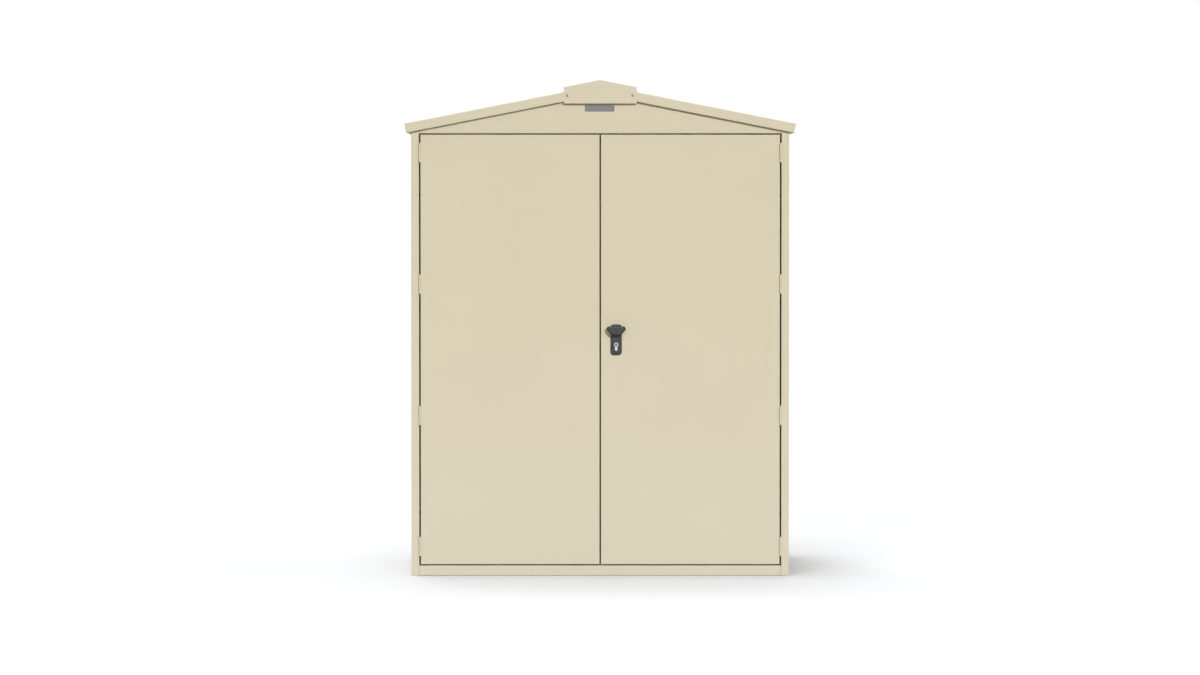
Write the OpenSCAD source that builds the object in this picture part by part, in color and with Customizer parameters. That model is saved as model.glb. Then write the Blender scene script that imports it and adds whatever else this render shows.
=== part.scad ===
// Metal tool shed: folded steel wall panels between four corner posts, a pair of hinged doors,
// a low gable roof with a raised ridge vent, and a turn handle over a profile cylinder lock.
// The front faces -Y and +Z is up. The origin is on the ground, under the middle of the walls.
// All sizes are in millimetres.

/* [Walls] */
// Width over the side walls
body_w = 1524; // [1200:1:1900]
// Depth over the front and back walls
body_d = 1090; // [800:1:2400]
// Thickness of the steel sheet
sheet_t = 1.2; // [0.8:0.1:1.5]
// Width of the flanges that stiffen the panels
flange_w = 28; // [20:1:30]
// Outside radius of a fold
fold_r = 2.5; // [2:0.1:4]
// Seam between two neighbouring panels
seam = 0.4; // [0.3:0.1:0.8]
// Clearance of a piece from what it sits on
seat = 0.2; // [0.1:0.05:0.3]

/* [Corner posts] */
// Width of a post on the front and back
post_w = 31; // [29:1:45]
// Depth of a post on the side walls
post_d = 45; // [42:1:60]
// Depth of the return beside the door edge
post_return = 40; // [32:1:41]
// Width of the lip that meets the side panel
post_lip = 24; // [12:1:26]

/* [Sill and floor] */
// Height of the front sill
sill_h = 41; // [36:1:60]
// Gap from the back of the doors to their stops
stop_gap = 6; // [5:0.5:8]
// Height of the door stop over the sill
sill_stop_h = 15; // [12:1:25]
// Depth of the door stop on the sill
sill_stop_d = 14; // [10:1:20]
// Width of the foot along the sill's lower edge
sill_foot_w = 45; // [20:1:48]
// How far the floor lies under the top of the sill
floor_drop = 1; // [0.5:0.5:10]
// Width of the feet under the floor's edges
floor_foot_w = 25; // [15:1:40]

/* [Doors] */
// Height of each door
door_h = 1735; // [1500:1:1900]
// Depth of the folded door edges
door_d = 30; // [28:1:33]
// Width of the lip round the back of each door
door_lip = 16; // [10:1:30]
// Gap over, under and between the doors
door_gap = 5; // [5:0.5:7]
// Height of the door stop under the gable
head_stop_h = 20; // [12:1:30]
// How far the meeting edges slope back, so that they pass each other
meeting_slope = 2; // [1:0.5:4]
// Gap between a door and its post
hinge_gap = 6; // [6:0.5:8]
// Width of the stiffener behind each door
stiffener_w = 90; // [60:1:140]
// Depth of the stiffener behind each door
stiffener_d = 22; // [14:1:24]
// Width of the stiffener's feet on the door skin
stiffener_foot = 15; // [10:1:25]

/* [Hinges] */
// Number of hinges on each door
hinge_count = 4; // [2:1:5]
// Length of a hinge
hinge_h = 78; // [60:1:100]
// Distance from a door's end to the middle of its first hinge
hinge_inset = 72.5; // [60:0.5:120]
// Radius of the hinge knuckle
knuckle_r = 4.5; // [4.2:0.1:8]
// Radius of the hinge pin
pin_r = 2.2; // [1.5:0.1:2.8]
// Running clearance of the pin in its bore
pin_clear = 0.05; // [0.02:0.01:0.1]
// Chamfer on the ends of the knuckles
knuckle_chamfer = 0.75; // [0.25:0.25:1.5]
// Thickness of the closed top of the upper knuckle
knuckle_cap = 4; // [2:0.5:8]
// Thickness of a hinge leaf
leaf_t = 2; // [1.5:0.1:2.4]
// Depth of a hinge leaf behind the front
leaf_d = 26; // [15:1:28]

/* [Roof] */
// Rise of the roof for each millimetre of run
roof_rise = 0.197; // [0.1:0.001:0.35]
// Height of the fascia on the eaves and gables
fascia_h = 38; // [30:1:55]
// How far the eaves stand out from the side walls
eave_over = 27; // [20:1:60]
// How far the roof stands out from the front and back walls
verge_over = 18; // [15:1:40]
// Width of the hem along the lower edge of the fascia on the gables
fascia_hem = 11; // [6:1:14]
// Space between the eaves' hem and the side walls
hem_clear = 1.5; // [1:0.5:6]
// Half the width of the vent slot along the ridge
vent_half = 20; // [14:1:40]
// Height of the upstand along the vent slot
vent_upstand = 9; // [5:1:12]
// Height of the standing seam in the middle of each roof slope
roof_seam_h = 14; // [8:1:25]

/* [Ridge vent] */
// Width of the ridge cap
cap_w = 294; // [200:1:400]
// Height of the ridge cap over the roof
cap_lift = 19.5; // [15:0.5:30]
// Height of the turned-down edge of the ridge cap
cap_drop = 10; // [5:1:13]
// Height of the end plate at the middle of the ridge
cap_plate_h = 95; // [80:1:120]
// Hem along the lower edge of the end plate
cap_plate_hem = 9; // [4:1:14]
// Distance of the cap brackets from the edge of the cap
bracket_inset = 52; // [40:1:80]
// Length of a cap bracket
bracket_l = 40; // [20:1:80]
// Width of the feet of a cap bracket
bracket_foot = 20; // [12:1:30]
// Distance of the end brackets from the front and back walls
bracket_end = 150; // [60:1:300]

/* [Lock] */
// Distance of the handle from the meeting edge
handle_inset = 62; // [50:1:120]
// Height of the handle's axis over the bottom of the door
handle_up = 944; // [700:1:1200]
// Width of the handle plate
plate_w = 45; // [40:1:60]
// Height of the handle plate
plate_h = 124; // [115:1:150]
// Thickness of the handle plate
plate_t = 8; // [6:0.5:12]
// Height of the plate's top over the handle's axis
plate_up = 26; // [22:1:32]
// Corner radius of the handle plate
plate_r = 12; // [6:0.5:16]
// Bevel round the face of the handle plate
plate_bevel = 4; // [1:0.5:6]
// Width of the turn handle
grip_w = 76; // [60:1:90]
// Height of the turn handle
grip_h = 37; // [34:1:50]
// Height of the turn handle's ears over its axis
grip_up = 18.5; // [16:0.5:24]
// Thickness of the turn handle
grip_t = 22; // [16:1:26]
// Radius of the turn handle's ears
ear_r = 10; // [7.5:0.5:13]
// Radius of the turn handle's lower edge
sole_r = 58; // [40:1:80]
// Width of the turn handle's lower edge
sole_w = 46; // [30:1:54]
// Rounding of the turn handle's edges
grip_round = 4; // [2:0.5:5]
// Height of the crown on the turn handle's face
grip_crown = 2; // [0.5:0.5:4]
// How far the crown is set in from the turn handle's edge
crown_inset = 6; // [4.5:0.5:7]
// Space between the handle plate and the turn handle
grip_gap = 6; // [5:0.5:10]
// Radius of the turn handle's spindle
spindle_r = 6; // [4:0.5:8]
// Width of the collar round the spindle
collar_w = 5; // [3:0.5:8]
// Distance of the lock cylinder under the handle's axis
cylinder_drop = 56; // [52:1:66]
// Width of the rim round the lock cylinder
rim_w = 2.5; // [1.5:0.5:4]
// Height of the rim round the lock cylinder
rim_h = 1; // [0.5:0.25:2]
// Depth of the lock behind the door skin
lock_case_d = 20; // [16:1:24]
// Radius of the locking rods
rod_r = 4; // [3:0.5:5]
// Clearance of the locking rods in the door's ends
rod_clear = 0.3; // [0.2:0.1:0.5]
// Clearance of the locking rods in the sill and gable
keeper_clear = 2; // [1:0.5:3]

/* [Hidden] */
pitch = atan(roof_rise);
fold_steps = 3;
tight_bend = 0.4;
tight_fold_r = sheet_t + tight_bend;
cut = 1;
side_panels = 2;
back_panels = 3;

// Heights, from the ground up
floor_h = sill_h - floor_drop;
door_z = sill_h + door_gap;
head_z = door_z + door_h + door_gap;
eave_clear = 2;
eave_fall = fascia_h * cos(pitch) + roof_rise * eave_over - sheet_t / cos(pitch);
wall_z = head_z + eave_fall + eave_clear;
apex_z = wall_z + sheet_t / cos(pitch) + roof_rise * body_w / 2;
ridge_z = apex_z + cap_lift;
cap_edge_z = ridge_z - roof_rise * cap_w / 2;

// Places across and along the plan
half_w = body_w / 2;
half_d = body_d / 2;
bay_half = half_w - post_w - seam;
door_w = half_w - post_w - hinge_gap - door_gap / 2;
stop_d = door_d + stop_gap;
sill_d = stop_d + sill_stop_d;

// Roof slope, measured from the apex down the slope
slope_top = vent_half / cos(pitch);
slope_end = (half_w + eave_over) / cos(pitch);
eave_hem = (eave_over - fascia_h * sin(pitch) - hem_clear) / cos(pitch);
cap_to_seam = 8;
slope_seam = (cap_w / 2 + cap_to_seam) / cos(pitch);
cap_space = cap_lift * cos(pitch) - sheet_t;

// Hinge line of the left door, and the height of each hinge
hinge_x = -half_w + post_w + hinge_gap / 2;
knuckle_clear = 0.5;
hinge_y = -half_d - knuckle_r - knuckle_clear;
pin_end = 1;
hinge_pitch = (door_h - 2 * hinge_inset) / (hinge_count - 1);
function hinge_z(i) = door_z + hinge_inset + i * hinge_pitch;

// Lock, from the handle's axis
handle_x = door_gap / 2 + handle_inset;
handle_z = door_z + handle_up;
cylinder_z = handle_z - cylinder_drop;
cylinder_r = 8.5;
cylinder_web = 10;
cylinder_h = 33;
cylinder_step = 0.5;
cylinder_proud = rim_h + cylinder_step;
plug_r = 6.5;
plug_groove = 0.5;
key_w = 2.6;
key_h = 8;
key_d = 6;
lock_margin = 14;
lock_low = cylinder_z - cylinder_h - lock_margin;
lock_high = handle_z + plate_up;
rod_y = -half_d + sheet_t + seat + lock_case_d / 2;
rod_short = 0.5;

ivory = "#dbd1b6";
galvanised = "#b9bcbe";
black_plastic = "#3a3a3c";
nickel = "#d9d7d2";

// Folded sheet

function along(a, b) = (b - a) / norm(b - a);
function right_of(d) = [d.y, -d.x];

// A corner of the path as an arc of the fold's radius
function fold_arc(p, q, s, r) =
    let (d0 = along(p, q), d1 = along(q, s))
    let (angle = acos(d0 * d1), side = sign(d0.x * d1.y - d0.y * d1.x))
    let (n = [-d0.y, d0.x] * side)
    let (centre = q - d0 * r * tan(angle / 2) + n * r)
    [for (j = [0 : fold_steps])
        centre + r * (d0 * sin(angle * j / fold_steps) - n * cos(angle * j / fold_steps))];

function with_folds(path, r) = [
    path[0],
    for (i = [1 : len(path) - 2]) each fold_arc(path[i - 1], path[i], path[i + 1], r),
    path[len(path) - 1]
];

// A point of the path moved to the other face of the sheet
function other_face(path, i) =
    let (last = len(path) - 1)
    let (n0 = right_of(along(path[max(i - 1, 0)], path[max(i, 1)])))
    let (n1 = right_of(along(path[min(i, last - 1)], path[min(i + 1, last)])))
    path[i] + sheet_t * (n0 + n1) / (1 + n0 * n1);

// Section of a folded sheet: the path is one face, and the steel lies on its right
module folded(path, r = fold_r) {
    face = with_folds(path, r);
    polygon(concat(face, [for (i = [len(face) - 1 : -1 : 0]) other_face(face, i)]));
}

// Extrusions along X, from x0 to x1, of a section drawn in Y and Z
module along_x(x0, x1) {
    translate([x0, 0, 0]) rotate([90, 0, 90]) linear_extrude(x1 - x0) children();
}

// Extrusions along Y, from y0 to y1, of a section drawn in X and Z
module along_y(y0, y1) {
    translate([0, y1, 0]) rotate([90, 0, 0]) linear_extrude(y1 - y0) children();
}

// A box between two corners
module block(low, high) {
    translate(low) cube(high - low);
}

// Everything under the roof sheet, less a drop
module under_roof(drop) {
    side_z = wall_z - drop - roof_rise * cut;
    along_y(-half_d - cut, half_d + cut)
        polygon([[-half_w - cut, -cut], [half_w + cut, -cut], [half_w + cut, side_z],
                 [0, wall_z - drop + roof_rise * half_w], [-half_w - cut, side_z]]);
}

// Turns a shape drawn on a flat roof, with X from the apex to the eave, onto the right-hand slope
module on_slope() {
    translate([0, 0, apex_z]) rotate([0, pitch, 0]) children();
}

// Frame

module corner_post() {
    color(ivory)
        translate([-half_w, -half_d, 0])
            linear_extrude(wall_z - seat)
                folded([[post_w, post_return], [post_w, 0], [0, 0], [0, post_d], [post_lip, post_d]]);
}

// Hole for a locking rod, from z0 to z1
module rod_hole(clear, z0, z1) {
    translate([handle_x, rod_y, z0]) cylinder(h = z1 - z0, r = rod_r + clear, $fn = 32);
}

module front_sill() {
    color(ivory) difference() {
        along_x(-bay_half, bay_half)
            translate([-half_d, 0])
                folded([[sill_foot_w, 0], [0, 0], [0, sill_h], [stop_d, sill_h],
                        [stop_d, sill_h + sill_stop_h], [sill_d, sill_h + sill_stop_h],
                        [sill_d, floor_h + seat]]);
        rod_hole(keeper_clear, sill_h - 2 * sheet_t, sill_h + cut);
    }
}

// Sloping flange that a roof sheet sits on, between two places across and along the plan
module roof_flange(x0, x1, y0, y1) {
    intersection() {
        difference() {
            under_roof(seat);
            under_roof(seat + sheet_t);
        }
        block([x0, y0, 0], [x1, y1, ridge_z]);
    }
}

module front_gable() {
    color(ivory) difference() {
        union() {
            intersection() {
                under_roof(seat);
                along_x(-bay_half, bay_half)
                    translate([-half_d, head_z])
                        folded([[stop_d, -head_stop_h], [stop_d, 0], [0, 0], [0, ridge_z]]);
            }
            roof_flange(-bay_half, bay_half, -half_d, -half_d + flange_w);
        }
        rod_hole(keeper_clear, head_z - cut, head_z + 2 * sheet_t);
    }
}

// Walls

// Panel of the left wall, from y0 to y1, with its flanges cut away over the floor
module side_panel(y0, y1) {
    top_z = wall_z - seat;
    color(ivory) translate([-half_w, 0, 0]) {
        difference() {
            linear_extrude(top_z) folded([[flange_w, y0], [0, y0], [0, y1], [flange_w, y1]]);
            block([fold_r, y0 - cut, -cut], [flange_w + cut, y1 + cut, floor_h + seat]);
        }
        block([0, y0 + fold_r, top_z - sheet_t], [flange_w, y1 - fold_r, top_z]);
    }
}

side_start = -half_d + post_d + seam;
side_pitch = (2 * -side_start + seam) / side_panels;

module left_wall(i) {
    side_panel(side_start + i * side_pitch, side_start + (i + 1) * side_pitch - seam);
}

// Panel of the back wall, from x0 to x1, with its flanges cut away over the floor
module back_panel(x0, x1) {
    inside = half_d - flange_w;
    color(ivory) {
        difference() {
            intersection() {
                under_roof(seat);
                linear_extrude(ridge_z)
                    folded([[x0, inside], [x0, half_d], [x1, half_d], [x1, inside]]);
            }
            block([x0 - cut, inside - cut, -cut], [x1 + cut, half_d - fold_r, floor_h + seat]);
        }
        roof_flange(x0 + fold_r, x1 - fold_r, inside, half_d);
    }
}

back_pitch = (2 * bay_half + seam) / back_panels;

module back_wall(i) {
    back_panel(-bay_half + i * back_pitch, -bay_half + (i + 1) * back_pitch - seam);
}

// Floor

// Outline of the left half of the floor, set in from its edges, with a notch for the rear post
module floor_block(inset, z0, z1) {
    edge = fold_r + seat + inset;
    difference() {
        block([-half_w + edge, -half_d + sill_d + seat + inset, z0],
              [-seam / 2 - inset, half_d - edge, z1]);
        block([-half_w - cut, half_d - post_d - seat - inset, z0 - cut],
              [-half_w + post_w + seat + inset, half_d + cut, z1 + cut]);
    }
}

module floor_half() {
    color(galvanised) difference() {
        floor_block(0, 0, floor_h);
        floor_block(sheet_t, sheet_t, floor_h - sheet_t);
        floor_block(floor_foot_w, -cut, floor_h - sheet_t);
    }
}

// Roof

// Front sheet of the right-hand slope: one fold from the ridge to the eave, one along the gable
module roof_sheet() {
    y0 = -half_d - verge_over;
    y1 = -seam / 2;
    low = -fascia_h;
    lap = 2 * fold_r;
    color(ivory) on_slope() {
        along_y(y0 + fold_r, y1)
            folded([[slope_top, vent_upstand], [slope_top, 0], [slope_end, 0],
                    [slope_end, low], [slope_end - eave_hem, low]]);
        along_x(slope_top, slope_end)
            folded([[y0 + fascia_hem, low], [y0, low], [y0, 0], [y0 + lap, 0]]);
        block([slope_seam, y1 - sheet_t, -sheet_t], [slope_end - fold_r, y1, roof_seam_h]);
    }
}

// Cover over the standing seam of the right-hand slope
module roof_seam() {
    half = seam / 2 + sheet_t + seat + sheet_t;
    top = roof_seam_h + seat + sheet_t;
    color(ivory) on_slope()
        along_x(slope_seam, slope_end)
            folded([[-half, seat], [-half, top], [half, top], [half, seat]], tight_fold_r);
}

module ridge_cap() {
    edge = cap_w / 2;
    low = cap_edge_z - cap_drop;
    color(ivory)
        along_y(-half_d - verge_over, half_d + verge_over)
            folded([[-edge, low], [-edge, cap_edge_z], [0, ridge_z], [edge, cap_edge_z], [edge, low]]);
}

// End plate that closes the front of the ridge vent
module ridge_plate() {
    edge = cap_w / 2;
    low = ridge_z - cap_plate_h;
    back = -half_d - verge_over - seat;
    front = back - sheet_t;
    color(ivory) intersection() {
        along_x(-edge, edge) folded([[front + cap_plate_hem, low], [front, low], [front, ridge_z]]);
        along_y(front - cut, front + cap_plate_hem + cut)
            polygon([[-edge, low], [edge, low], [edge, cap_edge_z], [0, ridge_z], [-edge, cap_edge_z]]);
    }
}

// Brackets that hold the ridge cap over the vent slot
module ridge_brackets() {
    s = (cap_w / 2 - bracket_inset) / cos(pitch);
    top = cap_space - seat - sheet_t;
    ends = half_d - bracket_end;
    color(ivory)
        for (side = [0, 1], y = [-ends, 0, ends])
            mirror([side, 0, 0]) on_slope()
                along_y(y - bracket_l / 2, y + bracket_l / 2)
                    folded([[s + bracket_foot, seat], [s, seat], [s, top], [s - bracket_foot, top]],
                           tight_fold_r);
}

// Doors

// Body of the left door as far back as a depth, set in from its faces, with its front edges folded
module door_body(inset, depth) {
    slope = meeting_slope / door_d;
    right = door_w - inset;
    top = door_h - inset;
    intersection() {
        linear_extrude(door_h)
            polygon(with_folds([[inset, depth], [inset, inset], [right - slope * inset, inset],
                                [right - slope * depth, depth]], fold_r - inset));
        along_x(0, door_w)
            polygon(with_folds([[depth, inset], [inset, inset], [inset, top], [depth, top]],
                               fold_r - inset));
    }
}

module door_pan() {
    color(ivory)
        translate([-door_gap / 2 - door_w, -half_d, door_z])
            difference() {
                door_body(0, door_d);
                door_body(sheet_t, door_d - sheet_t);
                block([door_lip, door_d - 2 * sheet_t, door_lip],
                      [door_w - door_lip - meeting_slope, door_d + cut, door_h - door_lip]);
            }
}

// Upright channel behind the middle of the left door
module door_stiffener() {
    skin = -half_d + sheet_t + seat;
    middle = -door_gap / 2 - door_w / 2;
    half = stiffener_w / 2;
    web = half - stiffener_foot;
    color(ivory)
        translate([middle, skin, door_z + door_lip + seat])
            linear_extrude(door_h - 2 * (door_lip + seat))
                folded([[half, 0], [web, 0], [web, stiffener_d],
                        [-web, stiffener_d], [-web, 0], [-half, 0]]);
}

// Hinges

// Knuckle on the hinge line from z0 to z1, with a chamfer at each end
module knuckle(z0, z1) {
    small = knuckle_r - knuckle_chamfer;
    translate([hinge_x, hinge_y, z0])
        rotate_extrude($fn = 48)
            polygon([[0, 0], [small, 0], [knuckle_r, knuckle_chamfer],
                     [knuckle_r, z1 - z0 - knuckle_chamfer], [small, z1 - z0], [0, z1 - z0]]);
}

// Lower half of a hinge on the left post, with the pin
module post_hinge() {
    half = hinge_h / 2;
    face = -half_w + post_w + seat;
    knuckle(-half, -seat);
    translate([hinge_x, hinge_y, -half])
        cylinder(h = hinge_h - knuckle_cap - pin_end, r = pin_r, $fn = 48);
    block([face, hinge_y, -half + knuckle_chamfer],
          [face + leaf_t, -half_d + leaf_d, -seat - knuckle_chamfer]);
}

// Upper half of a hinge on the left door, with the bore
module door_hinge() {
    half = hinge_h / 2;
    face = -half_w + post_w + hinge_gap - seat;
    difference() {
        union() {
            knuckle(seat, half);
            block([face - leaf_t, hinge_y, seat + knuckle_chamfer],
                  [face, -half_d + leaf_d, half - knuckle_chamfer]);
        }
        translate([hinge_x, hinge_y, -cut])
            cylinder(h = half - knuckle_cap + cut, r = pin_r + pin_clear, $fn = 48);
    }
}

module at_hinges() {
    color(ivory) for (i = [0 : hinge_count - 1]) translate([0, 0, hinge_z(i)]) children();
}

// Lock

// Solid of a section drawn in X and Z round a point of the handle's line, with its depths y0 and y1
// measured back from the front of the door
module at_lock(z, y0, y1) {
    translate([handle_x, 0, z]) along_y(-half_d + y0, -half_d + y1) children();
}

// Section of the profile cylinder, grown by a clearance
module cylinder_profile(grow) {
    low = cylinder_web / 2 - (cylinder_h - cylinder_r);
    circle(r = cylinder_r + grow, $fn = 48);
    translate([-cylinder_web / 2 - grow, low]) square([cylinder_web + 2 * grow, -low]);
    translate([0, low]) circle(r = cylinder_web / 2 + grow, $fn = 32);
}

// Rounded plate outline round the handle's axis, set in by an amount
module plate_outline(inset) {
    hull() for (x = [-1, 1], z = [plate_up - plate_r, plate_up - plate_h + plate_r])
        translate([x * (plate_w / 2 - plate_r), z]) circle(r = plate_r - inset, $fn = 32);
}

module handle_plate() {
    color(black_plastic) difference() {
        union() {
            hull() {
                at_lock(handle_z, plate_bevel - plate_t, -seat) plate_outline(0);
                at_lock(handle_z, -plate_t, -seat) plate_outline(plate_bevel);
            }
            at_lock(cylinder_z, -plate_t - rim_h, -plate_t + cut) cylinder_profile(rim_w);
        }
        at_lock(handle_z, -plate_t - cut, cut) circle(r = spindle_r + pin_clear, $fn = 48);
        at_lock(cylinder_z, -plate_t - rim_h - cut, cut) cylinder_profile(seat);
    }
}

// Lock cylinder, with a groove round its plug and a keyway
module lock_cylinder() {
    face = -plate_t - cylinder_proud;
    color(nickel) difference() {
        at_lock(cylinder_z, face, sheet_t + lock_case_d) cylinder_profile(0);
        at_lock(cylinder_z, face - cut, face + plug_groove)
            difference() {
                circle(r = plug_r + plug_groove, $fn = 48);
                circle(r = plug_r, $fn = 48);
            }
        at_lock(cylinder_z, face - cut, face + key_d) square([key_w, key_h], center = true);
    }
}

// Folded cover of the lock, behind the skin of the right door
module lock_case() {
    side = plate_w / 2;
    skin = sheet_t + seat;
    back = skin + lock_case_d;
    color(galvanised) difference() {
        block([handle_x - side, -half_d + skin, lock_low], [handle_x + side, -half_d + back, lock_high]);
        block([handle_x - side + sheet_t, -half_d, lock_low + sheet_t],
              [handle_x + side - sheet_t, -half_d + back - sheet_t, lock_high - sheet_t]);
        at_lock(handle_z, 0, back + cut) circle(r = spindle_r + pin_clear, $fn = 48);
        at_lock(cylinder_z, 0, back + cut) cylinder_profile(seat);
    }
}

// Locking rods from the lock case through both ends of the right door, drawn back
module lock_rods() {
    bottom = door_z + rod_short;
    top = door_z + door_h - rod_short;
    color(galvanised) {
        translate([handle_x, rod_y, bottom])
            cylinder(h = lock_low - seat - bottom, r = rod_r, $fn = 32);
        translate([handle_x, rod_y, lock_high + seat])
            cylinder(h = top - lock_high - seat, r = rod_r, $fn = 32);
    }
}

// Outline of the turn handle round its axis, set in by an amount
module grip_outline(inset) {
    ear_x = grip_w / 2 - ear_r;
    sole_z = grip_up - grip_h + sole_r;
    sole_angle = asin(sole_w / 2 / sole_r);
    sole_steps = 6;
    hull() {
        for (x = [-ear_x, ear_x])
            translate([x, grip_up - ear_r]) circle(r = ear_r - inset, $fn = 32);
        polygon([for (i = [-sole_steps : sole_steps])
            let (a = sole_angle * i / sole_steps)
            [(sole_r - inset) * sin(a), sole_z - (sole_r - inset) * cos(a)]]);
    }
}

module turn_handle() {
    back = -plate_t - grip_gap;
    front = back - grip_t;
    flank = front + grip_crown;
    color(black_plastic) {
        hull() {
            at_lock(handle_z, front, back) grip_outline(crown_inset);
            at_lock(handle_z, flank, back) grip_outline(grip_round);
            at_lock(handle_z, flank + grip_round, back - grip_round) grip_outline(0);
        }
        at_lock(handle_z, back - cut, -plate_t - seat) circle(r = spindle_r + collar_w, $fn = 48);
        at_lock(handle_z, back - cut, sheet_t + lock_case_d) circle(r = spindle_r, $fn = 48);
    }
}

// Right door, with openings for the spindle, the cylinder and the locking rods
module right_door() {
    skin_clear = 1;
    top = door_z + door_h;
    color(ivory) difference() {
        mirror([1, 0, 0]) door_pan();
        at_lock(handle_z, -cut, 2 * sheet_t) circle(r = spindle_r + skin_clear, $fn = 48);
        at_lock(cylinder_z, -cut, 2 * sheet_t) cylinder_profile(skin_clear);
        rod_hole(rod_clear, door_z - cut, door_z + 2 * sheet_t);
        rod_hole(rod_clear, top - 2 * sheet_t, top + cut);
    }
}

// Mirrored copies for the right-hand side, the rear, or both
module on_right() { mirror([1, 0, 0]) children(); }
module at_rear() { mirror([0, 1, 0]) children(); }

corner_post();  // left_front_post
on_right() corner_post();  // right_front_post
at_rear() corner_post();  // left_rear_post
on_right() at_rear() corner_post();  // right_rear_post
front_sill();
front_gable();
left_wall(0);  // left_wall_front
left_wall(1);  // left_wall_rear
on_right() left_wall(0);  // right_wall_front
on_right() left_wall(1);  // right_wall_rear
back_wall(0);  // back_wall_left
back_wall(1);  // back_wall_centre
back_wall(2);  // back_wall_right
floor_half();  // floor_left
on_right() floor_half();  // floor_right
on_right() roof_sheet();  // left_roof_front
on_right() at_rear() roof_sheet();  // left_roof_rear
roof_sheet();  // right_roof_front
at_rear() roof_sheet();  // right_roof_rear
on_right() roof_seam();  // left_roof_seam
roof_seam();  // right_roof_seam
ridge_cap();
ridge_plate();  // ridge_front_plate
at_rear() ridge_plate();  // ridge_rear_plate
ridge_brackets();
at_hinges() post_hinge();  // left_post_hinges
at_hinges() on_right() post_hinge();  // right_post_hinges
door_pan();  // left_door
door_stiffener();  // left_door_stiffener
at_hinges() door_hinge();  // left_door_hinges
right_door();
on_right() door_stiffener();  // right_door_stiffener
at_hinges() on_right() door_hinge();  // right_door_hinges
handle_plate();
lock_cylinder();
lock_case();
lock_rods();
turn_handle();
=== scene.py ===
import math

import bmesh
import bpy
from mathutils import Matrix, Vector


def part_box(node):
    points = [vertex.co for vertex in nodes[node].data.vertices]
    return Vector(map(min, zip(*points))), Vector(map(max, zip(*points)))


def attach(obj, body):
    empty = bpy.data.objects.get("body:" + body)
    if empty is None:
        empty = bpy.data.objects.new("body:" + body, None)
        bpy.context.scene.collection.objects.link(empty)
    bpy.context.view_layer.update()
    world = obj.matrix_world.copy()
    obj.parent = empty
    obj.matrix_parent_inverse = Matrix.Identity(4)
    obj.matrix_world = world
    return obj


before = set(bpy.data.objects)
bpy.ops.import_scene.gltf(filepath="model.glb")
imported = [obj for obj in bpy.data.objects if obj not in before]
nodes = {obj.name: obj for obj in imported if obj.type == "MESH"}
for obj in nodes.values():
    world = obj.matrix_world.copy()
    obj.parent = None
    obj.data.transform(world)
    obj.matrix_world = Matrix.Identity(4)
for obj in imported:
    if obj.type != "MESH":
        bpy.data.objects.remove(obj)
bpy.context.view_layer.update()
scene = bpy.context.scene

# Places that the small pieces share, in metres: the front faces -Y and +Z is up
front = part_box("left_door")[0].y
half_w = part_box("right_front_post")[1].x
half_d = -front
sheet = 0.0012
front_axis, rear_axis, up_axis = (0, -1, 0), (0, 1, 0), (0, 0, 1)
sides = (-1, 1)

# Range that a noise texture mostly keeps to
noise_low, noise_high = 0.3, 0.7


# Node trees


def srgb(r, g, b):
    """Linear colour of an sRGB value from 0 to 255."""
    def linear(c):
        c /= 255
        return c / 12.92 if c <= 0.04045 else ((c + 0.055) / 1.055) ** 2.4
    return (linear(r), linear(g), linear(b), 1)


def mapped(tree, value, low, high, at_low=0.0, at_high=1.0):
    """A number from at_low to at_high as a value goes from low to high."""
    node = tree.nodes.new("ShaderNodeMapRange")
    for key, number in zip(("From Min", "From Max", "To Min", "To Max"), (low, high, at_low, at_high)):
        node.inputs[key].default_value = number
    tree.links.new(value, node.inputs["Value"])
    return node.outputs["Result"]


def graded(tree, fac, stops):
    """A colour that goes through stops of (place, colour)."""
    node = tree.nodes.new("ShaderNodeValToRGB")
    ends = node.color_ramp.elements
    ends[0].position, ends[0].color = stops[0]
    ends[1].position, ends[1].color = stops[-1]
    for place, colour in stops[1:-1]:
        ends.new(place).color = colour
    tree.links.new(fac, node.inputs["Fac"])
    return node.outputs["Color"]


def coloured(tree, kind, colour):
    """A shader node of one colour."""
    node = tree.nodes.new(kind)
    node.inputs["Color"].default_value = colour
    return node.outputs[0]


def mixed(tree, fac, first, second):
    """A mix of two shaders, the second where the factor is one."""
    node = tree.nodes.new("ShaderNodeMixShader")
    tree.links.new(fac, node.inputs["Fac"])
    tree.links.new(first, node.inputs[1])
    tree.links.new(second, node.inputs[2])
    return node.outputs["Shader"]


def shown(tree):
    """One for what the camera sees, straight or in a reflection, and zero for other light."""
    rays = tree.nodes.new("ShaderNodeLightPath")
    total = rays.outputs["Is Camera Ray"]
    for name in ("Is Glossy Ray", "Is Transmission Ray"):
        either = tree.nodes.new("ShaderNodeMath")
        either.operation = "MAXIMUM"
        tree.links.new(total, either.inputs[0])
        tree.links.new(rays.outputs[name], either.inputs[1])
        total = either.outputs["Value"]
    return total


# Materials


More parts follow.
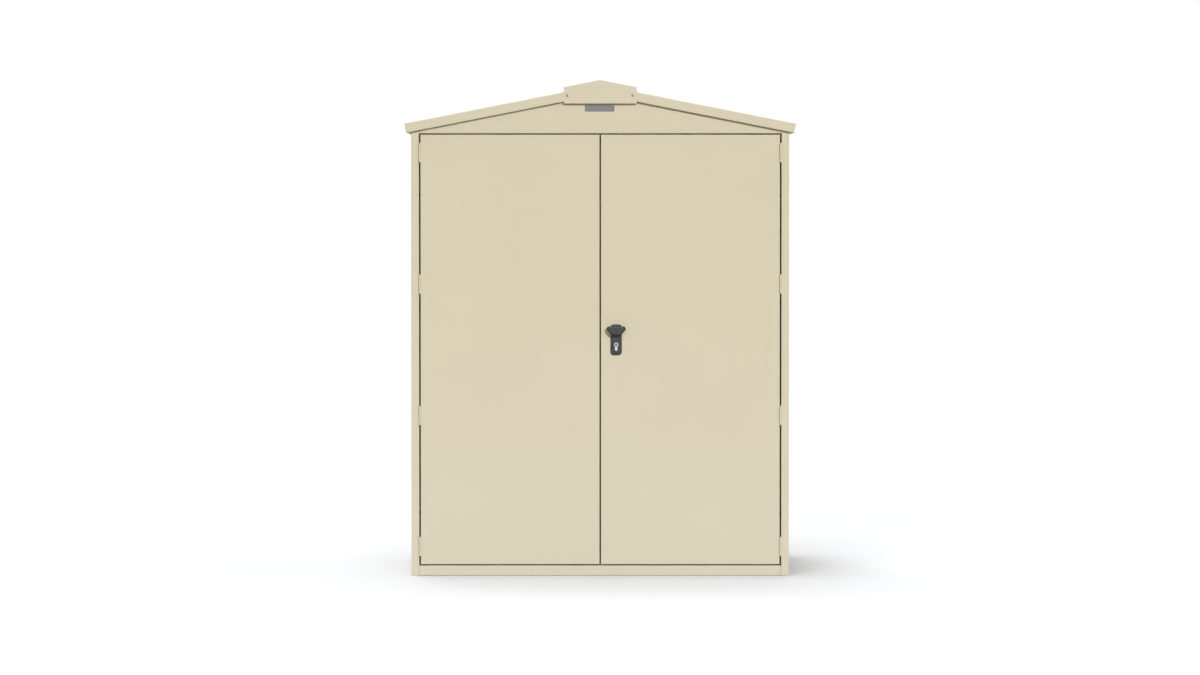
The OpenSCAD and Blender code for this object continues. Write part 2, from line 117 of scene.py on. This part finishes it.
class Nodes:
    """A material's node tree, with a Principled shader and object coordinates."""

    def __init__(self, name):
        self.material = bpy.data.materials.new(name)
        self.material.use_nodes = True
        self.tree = self.material.node_tree
        self.shader = self.tree.nodes["Principled BSDF"]
        self.place = self.add("ShaderNodeTexCoord").outputs["Object"]

    def add(self, kind, **inputs):
        """Adds a node and sets its inputs."""
        node = self.tree.nodes.new(kind)
        for key, value in inputs.items():
            node.inputs[key].default_value = value
        return node

    def link(self, output, target):
        self.tree.links.new(output, target)

    def set(self, **values):
        """Sets the shader's own sockets, with _ for each space in a name."""
        for key, value in values.items():
            self.shader.inputs[key.replace("_", " ")].default_value = value

    def noise(self, scale, detail=2.0, roughness=0.5, vector=None):
        node = self.add("ShaderNodeTexNoise", Scale=scale, Detail=detail, Roughness=roughness)
        self.link(vector or self.place, node.inputs["Vector"])
        return node.outputs["Fac"]

    def stretched(self, x, y, z):
        """Coordinates scaled along each axis."""
        node = self.add("ShaderNodeMapping", Scale=(x, y, z))
        self.link(self.place, node.inputs["Vector"])
        return node.outputs["Vector"]

    def bump(self, height, strength, distance, normal=None):
        node = self.add("ShaderNodeBump", Strength=strength, Distance=distance)
        self.link(height, node.inputs["Height"])
        if normal:
            self.link(normal, node.inputs["Normal"])
        return node.outputs["Normal"]

    def colour(self, fac, *stops):
        """Colours the shader through stops of (place, sRGB tone)."""
        stops = [(place, srgb(*tone)) for place, tone in stops]
        self.link(graded(self.tree, fac, stops), self.shader.inputs["Base Color"])

    def tones(self, fac, first, second):
        """Colours the shader from one sRGB tone to another, by a noise."""
        self.colour(fac, (noise_low, first), (noise_high, second))

    def rough(self, fac, low, high):
        """Gives the shader a roughness from low to high, by a noise."""
        self.link(mapped(self.tree, fac, noise_low, noise_high, low, high), self.shader.inputs["Roughness"])

    def normal(self, output):
        self.link(output, self.shader.inputs["Normal"])


def coated_steel():
    """Ivory coating on steel: a fine pebbled skin, with a very slight wave in the sheet."""
    m = Nodes("ivory_coating")
    m.tones(m.noise(2.5, detail=5, roughness=0.55), (218, 209, 183), (221, 212, 186))
    m.rough(m.noise(6, detail=4), 0.50, 0.60)
    m.set(Specular_IOR_Level=0.36)
    wave = m.bump(m.noise(1.4, detail=1), strength=0.05, distance=0.02)
    peel = m.bump(m.noise(420), strength=0.22, distance=0.0005, normal=wave)
    m.normal(m.bump(m.noise(1500, roughness=0.6), strength=0.10, distance=0.0002, normal=peel))
    return m.material


def galvanised_steel():
    """Zinc with its spangle of flat crystals."""
    m = Nodes("galvanised_zinc")
    warp_by = 0.012
    grain = m.add("ShaderNodeTexNoise", Scale=60)
    m.link(m.place, grain.inputs["Vector"])
    warp = m.add("ShaderNodeVectorMath")
    warp.operation = "MULTIPLY_ADD"
    m.link(grain.outputs["Color"], warp.inputs[0])
    warp.inputs[1].default_value = (warp_by, warp_by, warp_by)
    m.link(m.place, warp.inputs[2])
    crystals = m.add("ShaderNodeTexVoronoi", Scale=110, Randomness=1)
    m.link(warp.outputs["Vector"], crystals.inputs["Vector"])
    shade = m.add("ShaderNodeSeparateColor")
    m.link(crystals.outputs["Color"], shade.inputs["Color"])
    m.colour(shade.outputs["Red"],
             (0.0, (150, 154, 157)), (0.6, (163, 166, 168)), (1.0, (178, 180, 181)))
    m.rough(shade.outputs["Green"], 0.42, 0.56)
    m.set(Metallic=0.9)
    m.normal(m.bump(m.noise(900), strength=0.08, distance=0.0003))
    return m.material


def black_plastic():
    """Black moulded plastic with a fine spark-eroded grain."""
    m = Nodes("black_plastic")
    m.tones(m.noise(300, detail=4), (29, 29, 31), (38, 37, 39))
    m.rough(m.noise(180, detail=3), 0.36, 0.50)
    m.normal(m.bump(m.noise(1700, roughness=0.6), strength=0.22, distance=0.0002))
    return m.material


def nickel():
    """Nickel plate, brushed down its length."""
    m = Nodes("nickel_plate")
    streaks = m.noise(40, detail=4, roughness=0.6, vector=m.stretched(60, 60, 2))
    m.tones(streaks, (190, 186, 183), (212, 208, 205))
    m.rough(streaks, 0.18, 0.32)
    m.set(Metallic=1)
    m.normal(m.bump(streaks, strength=0.06, distance=0.0002))
    return m.material


def zinc_fastener():
    """Bright zinc plate on bolts and screws."""
    m = Nodes("zinc_fastener")
    m.tones(m.noise(240, detail=3), (126, 123, 118), (164, 160, 154))
    m.rough(m.noise(420), 0.20, 0.36)
    m.set(Metallic=1)
    m.normal(m.bump(m.noise(1500), strength=0.05, distance=0.0002))
    return m.material


def black_oxide_and_keyway_shade():
    """Black oxide on the handle's screw; in the keyway the same black is painted shade of the slot's dark
    inside.
    """
    m = Nodes("black_oxide_and_keyway_shade")
    m.tones(m.noise(400, detail=3), (30, 30, 31), (46, 45, 45))
    m.rough(m.noise(500), 0.28, 0.42)
    m.set(Metallic=0.6)
    return m.material


def dark_plug_with_keyway_shade():
    """Dark metal of the lock's plug face: partly the plug's own colour, partly painted shade of its keyway.
    """
    m = Nodes("dark_plug_with_keyway_shade")
    m.tones(m.noise(500, detail=4), (104, 88, 82), (128, 111, 103))
    m.rough(m.noise(700, detail=3), 0.24, 0.42)
    m.set(Metallic=1)
    m.normal(m.bump(m.noise(1600), strength=0.06, distance=0.0002))
    return m.material


def grey_plate():
    """Satin grey metal, brushed along its length."""
    m = Nodes("satin_grey_plate")
    streaks = m.noise(30, detail=4, roughness=0.65, vector=m.stretched(1.5, 30, 60))
    m.tones(streaks, (104, 104, 106), (122, 122, 124))
    m.rough(streaks, 0.38, 0.52)
    m.set(Metallic=0.35)
    m.normal(m.bump(streaks, strength=0.08, distance=0.0002))
    return m.material


ivory = coated_steel()
zinc_sheet = galvanised_steel()
plastic = black_plastic()
lock_metal = nickel()
zinc = zinc_fastener()
black_screw_and_keyway_shade = black_oxide_and_keyway_shade()
plug_metal_and_keyway_shade = dark_plug_with_keyway_shade()
grey_metal = grey_plate()

finishes = {
    "floor_left": zinc_sheet,
    "floor_right": zinc_sheet,
    "lock_case": zinc,
    "lock_rods": zinc,
    "handle_plate": plastic,
    "turn_handle": plastic,
    "lock_cylinder": lock_metal,
}
for name, node in nodes.items():
    node.data.materials.clear()
    node.data.materials.append(finishes.get(name, ivory))


# Tools for small pieces


def bridge(bm, low, high):
    """Joins two rings of points by a strip of faces."""
    for i in range(len(low)):
        j = (i + 1) % len(low)
        bm.faces.new((low[i], low[j], high[j], high[i]))


def loft(bm, rings):
    """Skins a row of rings and caps both ends."""
    for low, high in zip(rings, rings[1:]):
        bridge(bm, low, high)
    bm.faces.new(list(reversed(rings[0])))
    bm.faces.new(rings[-1])


def facing(location, axis, turn):
    """Matrix that stands a piece, drawn up +Z, on a place, towards an axis and turned about it."""
    aimed = Vector(axis).normalized().to_track_quat("Z", "Y").to_matrix().to_4x4()
    return Matrix.Translation(Vector(location)) @ aimed @ Matrix.Rotation(turn, 4, "Z")


def hexagon(apothem, angle):
    """Radius of a hexagon at an angle."""
    return apothem / math.cos((angle + math.pi / 6) % (math.pi / 3) - math.pi / 6)


def turned(bm, matrix, profile, segments=24):
    """Adds a closed turned form from rings of (radius, height, is a hexagon)."""
    rings = []
    for radius, height, is_hex in profile:
        ring = []
        for i in range(segments):
            angle = 2 * math.pi * i / segments
            r = hexagon(radius, angle) if is_hex else radius
            ring.append(bm.verts.new(matrix @ Vector((r * math.cos(angle), r * math.sin(angle), height))))
        rings.append(ring)
    loft(bm, rings)


def dome(radius, height, steps=5):
    """Profile of a dome over a short rim."""
    rim = 0.2 * height
    rings = [(radius, 0, False), (radius, rim, False)]
    for i in range(1, steps):
        a = math.pi / 2 * i / steps
        rings.append((radius * math.cos(a), rim + (height - rim) * math.sin(a), False))
    return rings


def dome_bolt(bm, matrix, radius=0.006, height=0.0034):
    """Dome-headed bolt with a hexagon socket."""
    flat_r, socket = 0.42 * radius, 0.34 * radius
    flat_z, socket_z = 0.97 * height, 0.35 * height
    rings = [ring for ring in dome(radius, height) if ring[0] > flat_r]
    turned(bm, matrix, rings + [(flat_r, flat_z, False), (socket, flat_z, True), (socket, socket_z, True)])


def rivet(bm, matrix, radius=0.0019, height=0.0009):
    """Small domed rivet."""
    tip = (0.1 * radius, height, False)
    turned(bm, matrix, dome(radius, height) + [tip], segments=16)


def washer_and_hexagon(top):
    """Profile of a washer under a hexagon, up to the hexagon's top."""
    washer_r, washer_h, washer_edge = 0.0062, 0.0010, 0.0004
    flats, corner_drop, corner_in = 0.0050, 0.0006, 0.0003
    seat = washer_h + washer_edge / 2
    return [(washer_r, 0, False), (washer_r, washer_h, False), (washer_r - washer_edge, seat, False),
            (flats, seat, True), (flats, top - corner_drop, True), (flats - corner_in, top, False)]


def hex_bolt(bm, matrix, top=0.0052):
    """Hexagon head on a washer."""
    crown_r, crown_rise = 0.0020, 0.0001
    turned(bm, matrix, washer_and_hexagon(top) + [(crown_r, top + crown_rise, False)])


def hex_nut(bm, matrix, top=0.0062):
    """Hexagon nut on a washer, with the end of its bolt."""
    bore_r, thread_r, tip_r = 0.0031, 0.0030, 0.0024
    thread_top, tip = 0.0085, 0.0090
    bolt_end = [(bore_r, top, False), (thread_r, thread_top, False), (tip_r, tip, False)]
    turned(bm, matrix, washer_and_hexagon(top) + bolt_end)


def flat_screw(bm, matrix, radius=0.0034, proud=0.0006):
    """Flat-headed screw, just proud of its countersink, with a hexagon socket."""
    edge, rim, socket = 0.94 * radius, 0.50 * radius, 0.42 * radius
    turned(bm, matrix, [(radius, 0, False), (radius, proud / 2, False), (edge, proud * 5 / 6, False),
                        (rim, proud, False), (socket, proud, True), (socket, proud / 6, True)])


def rounded_plate(bm, centre, size, depth, radius, bevel):
    """Plate on a face towards -Y, with round corners and a bevelled edge."""
    width, height = size
    steps = 6

    def outline(inset, y):
        points = []
        for quarter, (sx, sz) in enumerate(((1, 1), (-1, 1), (-1, -1), (1, -1))):
            for i in range(steps + 1):
                a = math.pi / 2 * (quarter + i / steps)
                x = sx * (width / 2 - radius) + (radius - inset) * math.cos(a)
                z = sz * (height / 2 - radius) + (radius - inset) * math.sin(a)
                points.append(bm.verts.new(centre + Vector((x, y, z))))
        return points

    round_in = 0.3 * bevel
    loft(bm, [outline(0, 0), outline(0, bevel - depth), outline(round_in, round_in - depth),
              outline(bevel, -depth), outline(2 * bevel, -depth)])


def piece(name, bm, material, body):
    """Turns a mesh into a piece that rides on a body."""
    crease = math.radians(35)
    bmesh.ops.recalc_face_normals(bm, faces=bm.faces)
    mesh = bpy.data.meshes.new(name)
    bm.to_mesh(mesh)
    bm.free()
    mesh.materials.append(material)
    mesh.shade_smooth()
    mesh.set_sharp_from_angle(angle=crease)
    obj = bpy.data.objects.new(name, mesh)
    scene.collection.objects.link(obj)
    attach(obj, body)


def fixings(name, make, places, material, body):
    """One piece of many alike fixings, each at a place, facing an axis and turned further than the last."""
    turn_step = 0.7
    bm = bmesh.new()
    for i, (location, axis) in enumerate(places):
        make(bm, facing(location, axis, turn_step * i))
    piece(name, bm, material, body)


# Screws that hold the ridge's end plates to the roof
end_screw_x, end_screw_z = 0.1315, 1.939
plate_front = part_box("ridge_front_plate")[0].y
plate_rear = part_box("ridge_rear_plate")[1].y
for end, y, axis in (("front", plate_front, front_axis), ("rear", plate_rear, rear_axis)):
    fixings(f"ridge_{end}_screws", dome_bolt,
            [((side * end_screw_x, y, end_screw_z), axis) for side in sides],
            zinc, "shell")

# Bare plate on the gable, with a rivet at each end
gable_plate_at = Vector((-0.0022, front, 1.8866))
gable_plate_size = (0.119, 0.0246)
gable_plate_depth = 0.0016
rivet_x = 0.054
gable_plate = bmesh.new()
rounded_plate(gable_plate, gable_plate_at, gable_plate_size, gable_plate_depth, radius=0.003, bevel=0.0006)
piece("gable_plate", gable_plate, grey_metal, "shell")
fixings("gable_plate_rivets", rivet,
        [(gable_plate_at + Vector((side * rivet_x, -gable_plate_depth, 0)), front_axis) for side in sides],
        zinc, "shell")

# Bolts through the ridge cap into its brackets
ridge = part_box("ridge_cap")[1].z
roof_slope = 0.197
bolt_x = 0.085
bolt_rows = (-0.395, 0, 0.395)
fixings("ridge_cap_bolts", dome_bolt,
        [((side * bolt_x, y, ridge - roof_slope * bolt_x), (side * roof_slope, 0, 1))
         for side in sides for y in bolt_rows],
        zinc, "shell")

# Bolts and nuts through the flanges of neighbouring panels, inside the walls
levels = (0.22, 0.66, 1.10, 1.54)
flange_in = 0.014
seam_half = 0.0002
flange_gap = 0.0004
post_along_side, post_along_back = 0.045, 0.031
lip_y = half_d - post_along_side
post_in = half_w - post_along_back
lap = sheet + seam_half
stack = sheet + flange_gap
heads, nuts = [], []
for side in sides:
    x = side * (half_w - flange_in)
    for z in levels:
        heads.append(((x, -lap, z), front_axis))
        nuts.append(((x, lap, z), rear_axis))
        for end in sides:
            nuts.append(((x, end * (lip_y - stack), z), (0, -end, 0)))
back_y = half_d - flange_in
back_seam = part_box("back_wall_centre")[1].x
for z in levels:
    for side in sides:
        nuts.append(((side * (post_in - stack), back_y, z), (-side, 0, 0)))
        heads.append(((side * (back_seam - sheet), back_y, z), (-side, 0, 0)))
        nuts.append(((side * (back_seam + stack), back_y, z), (side, 0, 0)))
fixings("wall_bolts", hex_bolt, heads, zinc, "shell")
fixings("wall_nuts", hex_nut, nuts, zinc, "shell")

# Screws of the floor
floor_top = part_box("floor_left")[1].z
floor_screw_x = (0.014, 0.38, 0.745)
floor_screw_y = (-0.478, -0.16, 0.16, 0.478)
fixings("floor_screws", flat_screw,
        [((side * x, y, floor_top), up_axis)
         for side in sides for x in floor_screw_x for y in floor_screw_y],
        zinc, "shell")

# Screws of the lock's cover and of the handle plate
handle_x = 0.0645
case_low, case_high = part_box("lock_case")
case_screw_x, case_screw_in = 0.016, 0.008
fixings("lock_case_screws", flat_screw,
        [((handle_x + side * case_screw_x, case_high.y, z), rear_axis)
         for side in sides for z in (case_low.z + case_screw_in, case_high.z - case_screw_in)],
        zinc, "right_leaf")
handle_plate_depth, handle_screw_up = 0.008, 0.0078
handle_screw_at = (handle_x, front - handle_plate_depth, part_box("handle_plate")[0].z + handle_screw_up)
fixings("handle_plate_screw", flat_screw, [(handle_screw_at, front_axis)],
        black_screw_and_keyway_shade, "right_leaf")

# Wards in the keyway of the lock: a slot with a step in each side, coloured black as painted shade of the
# keyway's inside
lock_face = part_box("lock_cylinder")[0].y
plug_z = 0.934
ward_depths = (0.0006, 0.0058)
ward_outline = [
    (-0.0012, -0.0039), (0.0012, -0.0039), (0.0012, -0.0012), (0.0005, -0.0008),
    (0.0005, 0.0010), (0.0012, 0.0014), (0.0012, 0.0039), (-0.0012, 0.0039),
    (-0.0012, 0.0022), (-0.0005, 0.0018), (-0.0005, 0.0002), (-0.0012, -0.0002),
]
wards = bmesh.new()
loft(wards, [[wards.verts.new((handle_x + x, lock_face + y, plug_z + z)) for x, z in ward_outline]
             for y in ward_depths])
piece("keyway_wards", wards, black_screw_and_keyway_shade, "right_leaf")

# Face of the lock's plug, round the keyway, in a dark metal that is partly painted shade of the keyway
plug_r, plug_proud, plug_bevel = 0.0055, 0.0005, 0.0003
key_half_w, key_half_h = 0.00135, 0.00405
plug_steps = 48
plug = bmesh.new()


def slot_radius(angle):
    """Radius of the keyway's outline at an angle."""
    return min(key_half_w / abs(math.cos(angle)), key_half_h / abs(math.sin(angle)))


def plug_ring(proud, radius=None):
    """Ring of the plug's face: a circle, or the keyway's outline where no radius is given."""
    ring = []
    for i in range(plug_steps):
        a = 2 * math.pi * (i + 0.5) / plug_steps
        r = radius or slot_radius(a)
        x, z = handle_x + r * math.cos(a), plug_z + r * math.sin(a)
        ring.append(plug.verts.new((x, lock_face - proud, z)))
    return ring


rings = [plug_ring(0, plug_r), plug_ring(plug_bevel, plug_r), plug_ring(plug_proud, plug_r - plug_bevel),
         plug_ring(plug_proud), plug_ring(0)]
for low, high in zip(rings, rings[1:] + rings[:1]):
    bridge(plug, low, high)
piece("plug_face", plug, plug_metal_and_keyway_shade, "right_leaf")

# Camera: at eye height and far off, aimed at the middle of the picture
picture_w = 4.843
sensor_w = 36
eye_away, eye_z = 18.0, 1.478
aim = Vector((-0.0008, front, 0.963))
eye = Vector((aim.x, front - eye_away, eye_z))
camera_data = bpy.data.cameras.new("camera")
camera_data.sensor_width = sensor_w
camera_data.lens = sensor_w * (aim - eye).length / picture_w
camera_data.clip_end = 200
camera = bpy.data.objects.new("camera", camera_data)
camera.location = eye
camera.rotation_euler = (aim - eye).to_track_quat("-Z", "Y").to_euler()
scene.collection.objects.link(camera)
scene.camera = camera

# Surroundings: white to the eye, and as light warm and dim in front, bright behind and low down
white = (1, 1, 1, 1)
sky_tones = ((0.0, (0.24, 0.21, 0.155, 1)), (0.5, (0.74, 0.73, 0.70, 1)), (1.0, white))
horizon_strength, zenith_strength = 1.3, 0.05
world = bpy.data.worlds.new("studio")
scene.world = world
world.use_nodes = True
tree = world.node_tree
tree.nodes.clear()
direction = tree.nodes.new("ShaderNodeSeparateXYZ")
tree.links.new(tree.nodes.new("ShaderNodeTexCoord").outputs["Generated"], direction.inputs["Vector"])
around = tree.nodes.new("ShaderNodeBackground")
tone = graded(tree, mapped(tree, direction.outputs["Y"], -1, 1), sky_tones)
strength = mapped(tree, direction.outputs["Z"], 0, 1, horizon_strength, zenith_strength)
tree.links.new(tone, around.inputs["Color"])
tree.links.new(strength, around.inputs["Strength"])
surroundings = mixed(tree, shown(tree), around.outputs["Background"],
                     coloured(tree, "ShaderNodeBackground", white))
tree.links.new(surroundings, tree.nodes.new("ShaderNodeOutputWorld").inputs["Surface"])


# Lamps


def soft_sun(name, towards, strength, angle, colour=(1, 1, 1)):
    """Sun whose light comes from a direction, softened over an angle in degrees."""
    data = bpy.data.lights.new(name, "SUN")
    data.energy = strength
    data.angle = math.radians(angle)
    data.color = colour
    lamp = bpy.data.objects.new(name, data)
    lamp.rotation_euler = Vector(towards).to_track_quat("Z", "Y").to_euler()
    scene.collection.objects.link(lamp)
    return lamp


def light_link(lamp, objects, state):
    """Has a lamp light these objects alone (INCLUDE) or all but these (EXCLUDE)."""
    group = bpy.data.collections.new(f"{lamp.name}_receivers")
    for obj in objects:
        group.objects.link(obj)
    for entry in group.collection_objects:
        entry.light_linking.link_state = state
    lamp.light_linking.receiver_collection = group


key_towards, key_angle = (0.30, -1.0, 0.385), 4
front_key = soft_sun("front_key", key_towards, strength=2.14, angle=key_angle, colour=(0.928, 0.947, 1.0))
front_key.visible_glossy = False
key_shine = soft_sun("key_shine", key_towards, strength=2.00, angle=key_angle, colour=(0.935, 0.95, 0.985))
key_shine.visible_diffuse = False
soft_sun("front_fill", (-0.35, -1.0, 0.40), strength=0.32, angle=40, colour=(1, 0.92, 0.76))
soft_sun("left_overhead", (-0.12, 0.03, 1.0), strength=0.94, angle=16)
soft_sun("right_overhead", (0.24, 0.10, 1.0), strength=0.42, angle=40)
soft_sun("rear_overhead", (-0.16, 0.42, 1.0), strength=0.52, angle=26)
floor_front = soft_sun("floor_front", (-0.06, -0.45, 1.0), strength=1.44, angle=30)
floor_rear = soft_sun("floor_rear", (-0.03, 0.45, 1.0), strength=0.59, angle=24)

# Floor: pale and lit to white for the eye, with the shadow that falls on it, and white further off
floor_half, floor_parts = 60, 8
floor_z = -0.0005
lit_tone = (0.664, 0.677, 0.702, 1)
lit_to, white_from = 3.0, 6.0
# For light that bounces off it, the floor is painted brighter and bluer near the shed than further off: a
# painted pool of light that lights the lower doors more
bounce_tones_painted_pool = ((0.0, (0.28, 0.31, 0.385, 1)), (1.0, (0.186, 0.18, 0.156, 1)))
painted_pool_near, painted_pool_far = 1.2, 2.4
bm = bmesh.new()
bmesh.ops.create_grid(bm, x_segments=floor_parts, y_segments=floor_parts, size=floor_half)
bmesh.ops.translate(bm, verts=bm.verts, vec=(0, 0, floor_z))
mesh = bpy.data.meshes.new("floor")
bm.to_mesh(mesh)
bm.free()
floor = bpy.data.objects.new("floor", mesh)
scene.collection.objects.link(floor)
ground = bpy.data.materials.new("pale_floor")
ground.use_nodes = True
tree = ground.node_tree
tree.nodes.clear()
away = tree.nodes.new("ShaderNodeVectorMath")
away.operation = "LENGTH"
tree.links.new(tree.nodes.new("ShaderNodeTexCoord").outputs["Object"], away.inputs[0])
distance = away.outputs["Value"]
seen = mixed(tree, mapped(tree, distance, lit_to, white_from),
             coloured(tree, "ShaderNodeBsdfDiffuse", lit_tone),
             coloured(tree, "ShaderNodeEmission", white))
bounce = tree.nodes.new("ShaderNodeBsdfDiffuse")
tree.links.new(graded(tree, mapped(tree, distance, painted_pool_near, painted_pool_far), bounce_tones_painted_pool),
               bounce.inputs["Color"])
surface = mixed(tree, shown(tree), bounce.outputs["BSDF"], seen)
tree.links.new(surface, tree.nodes.new("ShaderNodeOutputMaterial").inputs["Surface"])
mesh.materials.append(ground)

# The key lights the object alone, so that the floor keeps the soft shadow of the lamps above it.
# The key's shine falls on metal and plastic alone, so that the roof isn't white when seen from behind.
meshes = [obj for obj in scene.objects if obj.type == "MESH" and obj != floor]
light_link(front_key, [floor], "EXCLUDE")
light_link(floor_front, [floor], "INCLUDE")
light_link(floor_rear, [floor], "INCLUDE")
light_link(key_shine, [obj for obj in meshes if obj.data.materials[0] != ivory], "INCLUDE")

scene.view_settings.view_transform = "Standard"
